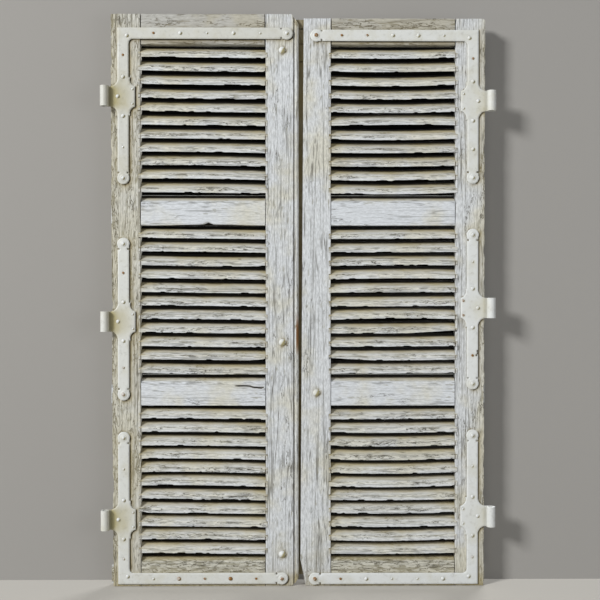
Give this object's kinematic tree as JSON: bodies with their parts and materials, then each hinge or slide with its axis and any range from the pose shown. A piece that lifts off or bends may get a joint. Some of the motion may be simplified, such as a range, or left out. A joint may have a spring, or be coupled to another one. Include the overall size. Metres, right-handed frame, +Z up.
{
  "type": "pair of louvred shutters",
  "caption": "Pair of tall louvred window shutters in weathered painted wood, with fixed slanted slats between rails and surface strap hinges with open eyes for wall pintles.",
  "frame": {"origin": "middle of the pair's foot: midway between the outer sides of the hinge eyes, midway in depth, at the leaves' lower edge", "axes": "+X to the right seen from the weather face, -Y out of the weather face, +Z up"},
  "size_m": [1.135, 0.0705, 1.65],
  "materials": {
    "painted_wood": "weathered flaking white-grey paint over grained wood, dirty in the grain and bare at broken edges",
    "painted_iron": "thick cream-white paint over forged iron, dirty in the corners",
    "painted_fasteners": "cream-white paint over iron heads, rusting through on some"
  },
  "bodies": {
    "right_leaf": {"right_hinge_stile": "painted_wood", "right_meeting_stile": "painted_wood", "right_top_rail": "painted_wood", "right_upper_middle_rail": "painted_wood", "right_lower_middle_rail": "painted_wood", "right_bottom_rail": "painted_wood", "right_top_slats": "painted_wood", "right_middle_slats": "painted_wood", "right_bottom_slats": "painted_wood", "right_tenon_wedges": "painted_wood", "right_top_hinge_strap": "painted_iron", "right_middle_hinge_strap": "painted_iron", "right_bottom_hinge_strap": "painted_iron", "right_strap_screws": "painted_fasteners", "right_strap_nails": "painted_fasteners", "right_dome_bolts": "painted_fasteners", "right_bolt_washers": "painted_fasteners", "right_bolt_nuts": "painted_fasteners"},
    "left_leaf": {"left_hinge_stile": "painted_wood", "left_meeting_stile": "painted_wood", "left_top_rail": "painted_wood", "left_upper_middle_rail": "painted_wood", "left_lower_middle_rail": "painted_wood", "left_bottom_rail": "painted_wood", "left_top_slats": "painted_wood", "left_middle_slats": "painted_wood", "left_bottom_slats": "painted_wood", "left_tenon_wedges": "painted_wood", "left_top_hinge_strap": "painted_iron", "left_middle_hinge_strap": "painted_iron", "left_bottom_hinge_strap": "painted_iron", "left_strap_screws": "painted_fasteners", "left_strap_nails": "painted_fasteners", "left_dome_bolts": "painted_fasteners", "left_bolt_washers": "painted_fasteners", "left_bolt_nuts": "painted_fasteners"}
  },
  "joints": [
    {"name": "left_leaf_swing", "type": "hinge", "parent": "right_leaf", "child": "left_leaf", "pos_m": [-0.55525, -0.023, 0.7655], "axis": [0, 0, -1], "range_deg": [0, 180]}
  ]
}
